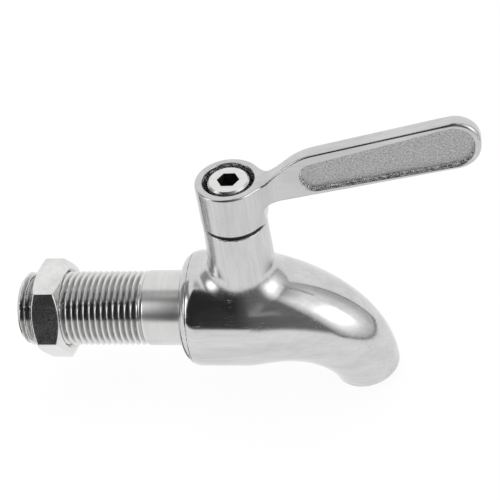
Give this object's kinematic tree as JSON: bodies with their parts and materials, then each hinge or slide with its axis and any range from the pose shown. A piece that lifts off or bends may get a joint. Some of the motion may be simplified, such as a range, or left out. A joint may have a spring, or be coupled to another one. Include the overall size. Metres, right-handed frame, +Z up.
{
  "type": "beverage dispenser spigot",
  "caption": "Stainless steel drinks dispenser tap with a threaded shank, a lock nut, a curved spout and a quarter-turn lever on a short tower.",
  "frame": {"origin": "on the shank's axis, in the flange face that bears on the vessel's wall", "axes": "+X along the shank towards the spout, +Z up the tower, -Y towards the side that the picture shows"},
  "size_m": [0.0997, 0.0256, 0.0677],
  "materials": {
    "cast_steel": "polished",
    "turned_steel": "polished",
    "screw_steel": "satin",
    "spring_steel": "satin",
    "seal_rubber": "matte",
    "gap_ring": "satin",
    "seat_polymer": "satin"
  },
  "bodies": {
    "valve_body": {"body": "cast_steel", "threaded_shank": "turned_steel", "inlet_seat": "seat_polymer", "outlet_seat": "seat_polymer", "shank_seal": "seal_rubber", "retaining_ring": "spring_steel", "handle_washer": "gap_ring", "stop_pin": "turned_steel"},
    "handle": {"lever": "cast_steel", "handle_screw": "screw_steel", "spring_washer": "spring_steel", "stem": "turned_steel", "stem_oring_lower": "seal_rubber", "stem_oring_upper": "seal_rubber", "ball": "turned_steel"},
    "nut": {"lock_nut": "turned_steel"}
  },
  "joints": [
    {"name": "handle_turn", "type": "hinge", "parent": "valve_body", "child": "handle", "pos_m": [0.0139, 0, 0], "axis": [0, 0, -1], "range_deg": [0, 90]},
    {"name": "nut_travel", "type": "slide", "parent": "valve_body", "child": "nut", "axis": [1, 0, 0], "range_m": [-0.0039, 0.018]}
  ]
}
